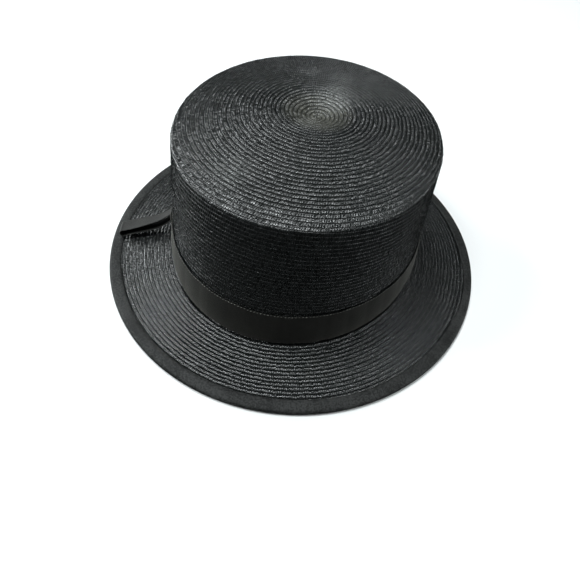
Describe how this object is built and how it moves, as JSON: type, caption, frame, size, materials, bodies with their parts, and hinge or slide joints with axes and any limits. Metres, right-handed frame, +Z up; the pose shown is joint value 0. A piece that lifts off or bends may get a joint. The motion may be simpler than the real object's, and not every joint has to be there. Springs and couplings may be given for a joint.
{
  "type": "straw top hat",
  "caption": "Sewn-straw top hat: a round crown with a low domed tip sunken at its middle, a gently sloping brim, a ribbon band, a bound rim and a side bow loop.",
  "frame": {"origin": "middle of the hat's outline seen from above, on the surface that the rim rests on", "axes": "+Z up; the wearer faces -Y; +X is the wearer's left, where the bow is"},
  "size_m": [0.2662, 0.2796, 0.1173],
  "materials": {
    "straw": "glossy black sewn synthetic straw braid",
    "ribbon": "matt black grosgrain ribbon",
    "binding": "matt black grosgrain binding folded over the rim"
  },
  "bodies": {
    "root": {"crown": "straw", "brim": "straw", "hat_band": "ribbon", "brim_binding": "binding", "bow_loop": "ribbon", "bow_keeper": "ribbon"}
  },
  "joints": []
}
